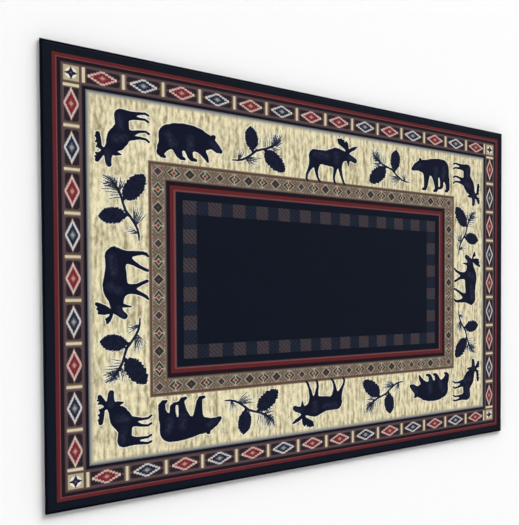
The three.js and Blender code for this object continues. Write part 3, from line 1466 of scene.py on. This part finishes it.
@dataclass
class PileWeaver:
    """Models the pile as strips of small tufts that carry the design."""

    sizes: RugSizes
    material: bpy.types.Material
    menagerie: Menagerie = field(default_factory=Menagerie)
    columns: int = 696
    rows: int = 480
    roll: float = 0.0035
    ruffle: float = 0.00022
    swell: float = 0.00025
    waves_along: tuple[float, float, float] = (21.0, 3.0, 9.0)
    waves_across: tuple[float, float, float] = (17.0, 2.0, 7.0)
    scatter: tuple[float, float, float] = (12.9898, 78.233, 43758.5453)
    smooth_angle: float = 70.0
    map_rows: tuple[float, float] = (0.0, 0.4)
    map_floor: float = 0.84
    map_floor_size: tuple[float, float] = (0.45, 0.4)
    map_sides: tuple[float, float] = (0.77, 0.785)
    map_side_size: float = 0.49
    map_ends: float = 0.80
    map_end_places: tuple[float, float] = (0.25, 0.2)

    @property
    def strip_width(self) -> float:
        """How much of the rug's width one strip covers."""
        return self.sizes.body_width / self.sizes.strips

    def strip(self, number: int) -> bpy.types.Object:
        """Models one strip of pile that runs the length of the rug.

        Args:
            number: Which strip, counted from the near side.

        Returns:
            The strip, a closed mesh.
        """
        low_y = self.sizes.low.y + number * self.strip_width
        bpy.ops.object.select_all(action="DESELECT")
        bpy.ops.mesh.primitive_grid_add(
            x_subdivisions=self.columns,
            y_subdivisions=self.rows // self.sizes.strips,
            size=1.0,
            location=(0.0, low_y + self.strip_width / 2, self.sizes.pile_top),
        )
        piece = bpy.context.object
        piece.name = f"pile_strip_{number + 1}"
        piece.scale = (self.sizes.body_length, self.strip_width, 1.0)
        settle(piece)
        self.drop_walls(piece)
        self.lay_map(piece, low_y)
        self.ruffle_tips(piece)
        self.keep_silhouettes(piece)
        piece.data.materials.clear()
        piece.data.materials.append(self.material)
        select_only(piece)
        bpy.ops.object.shade_smooth_by_angle(angle=math.radians(self.smooth_angle))
        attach(piece, "root")
        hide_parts("rug_body")
        return piece

    def drop_walls(self, piece: bpy.types.Object) -> None:
        """Closes the strip with walls down to the ground weave and a floor.

        Args:
            piece: The strip, still a flat sheet.
        """
        depth = self.sizes.pile_top - self.sizes.pile_base
        select_only(piece)
        bpy.ops.object.mode_set(mode="EDIT")
        bpy.ops.mesh.select_mode(type="FACE")
        bpy.ops.mesh.select_all(action="SELECT")
        bpy.ops.mesh.region_to_loop()
        bpy.ops.mesh.extrude_edges_move(TRANSFORM_OT_translate={"value": (0.0, 0.0, -depth)})
        bpy.ops.mesh.edge_face_add()
        end_editing()

    def lay_map(self, piece: bpy.types.Object, low_y: float) -> None:
        """Maps the strip flat: its two halves one over the other, then its floor and walls.

        Args:
            piece: The strip, before its tips are ruffled.
            low_y: Where its near side is.
        """
        mesh = piece.data
        points = read_points(mesh)
        corner = np.empty(len(mesh.loops), np.int32)
        mesh.loops.foreach_get("vertex_index", corner)
        totals = np.empty(len(mesh.polygons), np.int32)
        mesh.polygons.foreach_get("loop_total", totals)
        centres, facing = (np.empty(len(mesh.polygons) * 3, np.float32) for _ in range(2))
        mesh.polygons.foreach_get("center", centres)
        mesh.polygons.foreach_get("normal", facing)
        right = np.repeat(centres.reshape(-1, 3)[:, 0] > 0.0, totals)
        facing = np.repeat(facing.reshape(-1, 3), totals, axis=0)
        half = self.sizes.body_length / 2
        along = points[corner, 0] / half
        across = (points[corner, 1] - low_y) / half
        height = (points[corner, 2] - self.sizes.pile_base) / half
        u = np.where(right, along, along + 1.0)
        v = across + np.where(right, self.map_rows[1], self.map_rows[0])
        floor = facing[:, 2] < -0.5
        u = np.where(floor, 0.5 + self.map_floor_size[0] * along, u)
        v = np.where(floor, self.map_floor + self.map_floor_size[1] * across, v)
        end_middle, end_step = self.map_end_places
        for way, row in zip((-1.0, 1.0), self.map_sides):
            side = facing[:, 1] * way > 0.5
            u = np.where(side, 0.5 + self.map_side_size * along, u)
            v = np.where(side, row + height, v)
            end = facing[:, 0] * way > 0.5
            u = np.where(end, end_middle + end_step * way + across, u)
            v = np.where(end, self.map_ends + height, v)
        layer = mesh.uv_layers.active or mesh.uv_layers.new(name="UVMap")
        layer.data.foreach_set("uv", np.stack([u, v], 1).astype(np.float32).ravel())

    def ruffle_tips(self, piece: bpy.types.Object) -> None:
        """Rolls the pile over at the rug's rim and ruffles the tips of the tufts.

        Args:
            piece: The closed strip.
        """
        points = read_points(piece.data)
        top = points[:, 2] > self.sizes.pile_top - MM
        x, y = points[top, 0], points[top, 1]
        inward = np.minimum(self.sizes.high.x - np.abs(x), self.sizes.high.y - np.abs(y))
        share = np.clip(1.0 - inward / self.roll, 0.0, 1.0)
        drop = self.roll * (1.0 - np.sqrt(1.0 - share**2))
        # Both waves and ruffles depend on the place alone, so that the strips meet
        waves = wave(x, y, self.waves_along) * wave(y, x, self.waves_across)
        along, across, much = self.scatter
        seed = np.sin(np.round(x / MM) * along + np.round(y / MM) * across) * much
        random = seed - np.floor(seed)
        points[top, 2] -= drop + self.swell * (1.0 + waves) + self.ruffle * 2.0 * random
        write_points(piece.data, points)

    def keep_silhouettes(self, piece: bpy.types.Object) -> None:
        """Keeps the animals and sprigs on the strip's points, for its material.

        Args:
            piece: The strip.
        """
        points = read_points(piece.data) / MM
        for name, values in self.menagerie.values(points[:, 0], points[:, 1]).items():
            kept = piece.data.attributes.new(name, "FLOAT", "POINT")
            kept.data.foreach_set("value", values.astype(np.float32))

    def build(self) -> list[bpy.types.Object]:
        """Models all the strips."""
        return [self.strip(number) for number in range(self.sizes.strips)]


@dataclass
class GroundWeave:
    """The woven ground that the pile stands on, ribbed underneath."""

    sizes: RugSizes
    material: bpy.types.Material
    rib_pitch: float = 0.0066
    rib_height: float = 0.0004

    def build(self, pile: list[bpy.types.Object]) -> bpy.types.Object:
        """Args:
            pile: The strips of pile that stand on it. It is not used.

        Returns:
            The ground weave.
        """
        ribs = round(self.sizes.body_width / self.rib_pitch)
        bpy.ops.object.select_all(action="DESELECT")
        bpy.ops.mesh.primitive_grid_add(x_subdivisions=2, y_subdivisions=2 * ribs, size=1.0)
        piece = bpy.context.object
        piece.name = "ground_weave"
        piece.scale = (self.sizes.body_length, self.sizes.body_width, 1.0)
        settle(piece)
        points = read_points(piece.data)
        row = np.round((points[:, 1] - self.sizes.low.y) / self.sizes.body_width * 2 * ribs)
        points[:, 2] = np.where(row % 2 == 0, self.rib_height, 0.0)
        write_points(piece.data, points)
        select_only(piece)
        bpy.ops.object.mode_set(mode="EDIT")
        bpy.ops.mesh.select_all(action="SELECT")
        rise = (0.0, 0.0, self.sizes.pile_base - self.rib_height)
        bpy.ops.mesh.extrude_region_move(TRANSFORM_OT_translate={"value": rise})
        end_editing()
        piece.data.materials.append(self.material)
        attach(piece, "root")
        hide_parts("rug_body")
        return piece


@dataclass
class OvercastEdging:
    """The yarn wrapped over the rug's rim, one run for each side."""

    sizes: RugSizes
    material: bpy.types.Material
    width: float = 0.007
    height: float = 0.008
    wrap: float = 0.003
    valley: float = 0.86
    slant: float = 0.0008
    snug: float = 0.0009
    facets: int = 10
    weld: float = 0.00005
    smooth_angle: float = 60.0

    def one_wrap(self, name: str, wrap: float) -> bpy.types.Object:
        """Models one wrap of yarn, which swells from a valley and sinks back to the next.

        Args:
            name: The piece's name.
            wrap: How much of the rim it covers.

        Returns:
            The wrap, as a ring of faces with open ends.
        """
        bpy.ops.object.select_all(action="DESELECT")
        bpy.ops.mesh.primitive_circle_add(
            vertices=self.facets, radius=0.5, rotation=(0.0, math.pi / 2, 0.0),
        )
        piece = bpy.context.object
        piece.name = name
        settle(piece)
        piece.scale = (1.0, self.width * self.valley, self.height * self.valley)
        settle(piece)
        bpy.ops.object.mode_set(mode="EDIT")
        bpy.ops.mesh.select_all(action="SELECT")
        grown = 1.0 / self.valley
        for size in (grown, 1.0 / grown):
            bpy.ops.mesh.extrude_edges_move(TRANSFORM_OT_translate={"value": (wrap / 2, 0.0, 0.0)})
            bpy.ops.transform.resize(value=(1.0, size, size))
        bpy.ops.object.mode_set(mode="OBJECT")
        return piece

    def repeat_wrap(self, piece: bpy.types.Object, wrap: float, count: int) -> None:
        """Repeats the wrap along the rim and welds the valleys.

        Args:
            piece: The first wrap.
            wrap: How much of the rim it covers.
            count: How many wraps there are.
        """
        rows = piece.modifiers.new("wraps", "ARRAY")
        rows.count = count
        rows.use_relative_offset = False
        rows.use_constant_offset = True
        rows.constant_offset_displace = (wrap, 0.0, 0.0)
        rows.use_merge_vertices = True
        rows.merge_threshold = self.weld
        bpy.ops.object.modifier_apply(modifier=rows.name)

    def run(self, node: str, length: float, turn: float, x: float, y: float) -> bpy.types.Object:
        """Models one side's run of wraps, its ends cut to meet the next sides.

        Args:
            node: The CAD node that it stands for.
            length: The side's length.
            turn: How far it is turned about the upright, in degrees.
            x: The middle of its rim.
            y: The middle of its rim.

        Returns:
            The run of wraps.
        """
        count = round(length / self.wrap)
        wrap = length / count
        piece = self.one_wrap(node.replace("edging", "overcast"), wrap)
        points = read_points(piece.data)
        points[:, 0] += self.slant * points[:, 2] / (self.height / 2)
        points[:, 0] -= length / 2 + wrap
        # The inner half is drawn tight against the pile
        points[:, 1] += self.width / 2 + np.where(points[:, 1] > 0.0, self.snug, 0.0)
        points[:, 2] = np.maximum(points[:, 2] + self.height / 2, 0.0)
        write_points(piece.data, points)
        # One wrap more at each end is cut off by the mitre
        self.repeat_wrap(piece, wrap, count + 2)
        self.cut_mitres(piece, length)
        piece.data.materials.append(self.material)
        bpy.ops.object.shade_smooth_by_angle(angle=math.radians(self.smooth_angle))
        piece.rotation_euler = Euler((0.0, 0.0, math.radians(turn)))
        piece.location = (x, y, 0.0)
        settle(piece)
        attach(piece, "root")
        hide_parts(node)
        return piece

    def cut_mitres(self, piece: bpy.types.Object, length: float) -> None:
        """Cuts both ends at 45 degrees and closes them.

        Args:
            piece: The row of wraps, with the middle of its rim at the origin.
            length: The side's length along its rim.
        """
        bpy.ops.object.mode_set(mode="EDIT")
        for way in (1.0, -1.0):
            bpy.ops.mesh.select_all(action="SELECT")
            bpy.ops.mesh.bisect(
                plane_co=(way * length / 2, 0.0, 0.0),
                plane_no=(way, 1.0, 0.0),
                use_fill=True,
                clear_outer=True,
            )
        end_editing()

    def build(self) -> list[bpy.types.Object]:
        """Models the four runs.

        Returns:
            The runs, one for each side.
        """
        half_length, half_width = self.sizes.rug_length / 2, self.sizes.rug_width / 2
        sides = (
            ("side_edging_near", self.sizes.rug_length, 0.0, 0.0, -half_width),
            ("end_edging_right", self.sizes.rug_width, 90.0, half_length, 0.0),
            ("side_edging_far", self.sizes.rug_length, 180.0, 0.0, half_width),
            ("end_edging_left", self.sizes.rug_width, 270.0, -half_length, 0.0),
        )
        return [self.run(*side) for side in sides]


@dataclass
class Studio:
    """A pale floor, soft lights and the camera."""

    place: Vector = Vector((-1.3716, -0.0633, 1.9365))
    aim: Vector = Vector((-0.3247, -0.1040, 0.0))
    roll: float = 91.654
    focal_pixels: float = 537.3
    image_height: float = 525.0
    shift_pixels: float = 43.47
    sensor: float = 36.0
    nearest: float = 0.01
    floor_size: float = 40.0
    key_turn: float = 57.0
    key_height: float = 14.5
    key_spread: float = 24.0
    key_strength: float = 5.9
    sky_top: float = 0.06
    sky_low: float = 8.5
    sky_heights: tuple[float, float] = (0.12, 0.34)

    def camera(self) -> None:
        """Sets the camera where it looks along the rug from above its left end."""
        data = bpy.data.cameras.new("camera")
        data.sensor_width = self.sensor
        data.lens = self.focal_pixels / self.image_height * self.sensor
        data.shift_y = self.shift_pixels / self.image_height
        data.clip_start = self.nearest
        camera = bpy.data.objects.new("camera", data)
        bpy.context.scene.collection.objects.link(camera)
        back = (self.place - self.aim).normalized()
        side = Vector((0.0, 0.0, 1.0)).cross(back).normalized()
        up = back.cross(side)
        turned = Matrix((side, up, back)).transposed().to_4x4()
        turned = turned @ Matrix.Rotation(math.radians(self.roll), 4, "Z")
        camera.matrix_world = Matrix.Translation(self.place) @ turned
        bpy.context.scene.camera = camera

    def floor(self) -> None:
        """Makes the floor that the rug lies on."""
        bpy.ops.object.select_all(action="DESELECT")
        bpy.ops.mesh.primitive_plane_add(size=self.floor_size)
        floor = bpy.context.object
        floor.name = "floor"
        paint = bpy.data.materials.new("floor_paint")
        paint.use_nodes = True
        NodeSheet(paint.node_tree).fill(paint.node_tree.nodes["Principled BSDF"], {
            "Base Color": linear(FLOOR_PAINT.colour),
            "Roughness": FLOOR_PAINT.roughness,
            "Specular IOR Level": FLOOR_PAINT.specular,
        })
        floor.data.materials.append(paint)

    def sky(self) -> None:
        """Lights the studio from all round, most of it low down."""
        world = bpy.data.worlds.new("studio")
        world.use_nodes = True
        sheet = NodeSheet(world.node_tree)
        parts = sheet.add("ShaderNodeSeparateXYZ")
        sheet.feed(parts.inputs[0], sheet.add("ShaderNodeTexCoord").outputs["Generated"])
        height = Amount(sheet, parts.outputs[2])
        strength = height.spread(*self.sky_heights, self.sky_low, self.sky_top)
        background = world.node_tree.nodes["Background"]
        sheet.fill(background, {"Color": (1.0, 1.0, 1.0, 1.0), "Strength": strength})
        bpy.context.scene.world = world

    def key(self) -> None:
        """Adds the soft low light from the far right."""
        data = bpy.data.lights.new("key", "SUN")
        data.angle = math.radians(self.key_spread)
        data.energy = self.key_strength
        lamp = bpy.data.objects.new("key", data)
        bpy.context.scene.collection.objects.link(lamp)
        tilt, turn = math.radians(90.0 - self.key_height), math.radians(90.0 + self.key_turn)
        lamp.rotation_euler = Euler((tilt, 0.0, turn))

    def build(self) -> None:
        """Makes the floor, the lights and the camera."""
        self.floor()
        self.sky()
        self.key()
        bpy.context.scene.view_settings.view_transform = "Standard"
        self.camera()


def main() -> None:
    """Builds the studio and the rug, and reports each piece."""
    logging.basicConfig(level=logging.INFO, format="%(name)s: %(message)s")
    Studio().build()
    sizes = RugSizes()
    shaders = YarnShaders(sizes)
    pile = PileWeaver(sizes, shaders.pile()).build()
    ground_yarn = shaders.material("ground_yarn", GROUND_FINISH, Yarn.JUTE)
    ground = GroundWeave(sizes, ground_yarn).build(pile)
    edging_yarn = shaders.material("edging_yarn", EDGING_FINISH, Yarn.SOOT)
    edging = OvercastEdging(sizes, edging_yarn).build()
    for piece in (*pile, ground, *edging):
        LOG.info("%s has %d faces", piece.name, len(piece.data.polygons))
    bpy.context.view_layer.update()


if __name__ == "__main__":
    main()
